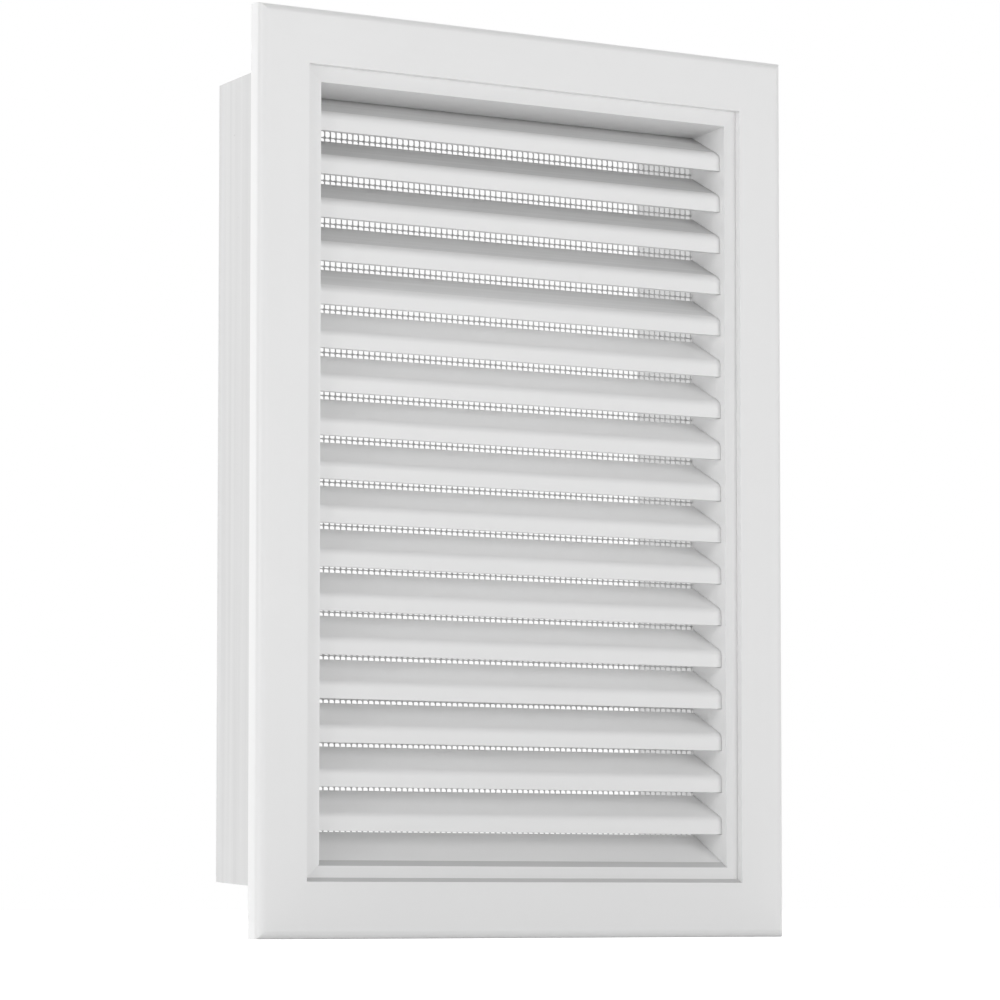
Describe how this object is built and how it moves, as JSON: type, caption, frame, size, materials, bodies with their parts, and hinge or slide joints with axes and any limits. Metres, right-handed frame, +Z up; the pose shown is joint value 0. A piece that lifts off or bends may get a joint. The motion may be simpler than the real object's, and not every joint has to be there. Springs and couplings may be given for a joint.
{
  "type": "gable vent",
  "caption": "White rectangular gable vent with a stepped flange, fixed sloping louvers, an insect screen and a deep wall sleeve.",
  "frame": {"origin": "centre of the vent on the plane of the flange's back face, where it meets the wall", "axes": "+Y into the wall, -Y towards the viewer, +Z up, +X to the right seen from the front"},
  "size_m": [0.355, 0.093, 0.504],
  "materials": {
    "frame_pvc": "smooth satin white PVC, moulded face",
    "louver_pvc": "smooth satin white PVC blade",
    "screen_mesh": "satin white plastic netting, light grey in the shade",
    "staple_steel": "plain bright staple wire"
  },
  "bodies": {
    "root": {"frame_head": "frame_pvc", "frame_sill": "frame_pvc", "frame_jamb_left": "frame_pvc", "frame_jamb_right": "frame_pvc", "sill_blade": "louver_pvc", "insect_screen": "screen_mesh", "screen_staples": "staple_steel", "louver_01": "louver_pvc", "louver_02": "louver_pvc", "louver_03": "louver_pvc", "louver_04": "louver_pvc", "louver_05": "louver_pvc", "louver_06": "louver_pvc", "louver_07": "louver_pvc", "louver_08": "louver_pvc", "louver_09": "louver_pvc", "louver_10": "louver_pvc", "louver_11": "louver_pvc", "louver_12": "louver_pvc", "louver_13": "louver_pvc", "louver_14": "louver_pvc", "louver_15": "louver_pvc", "louver_16": "louver_pvc", "louver_17": "louver_pvc"}
  },
  "joints": []
}
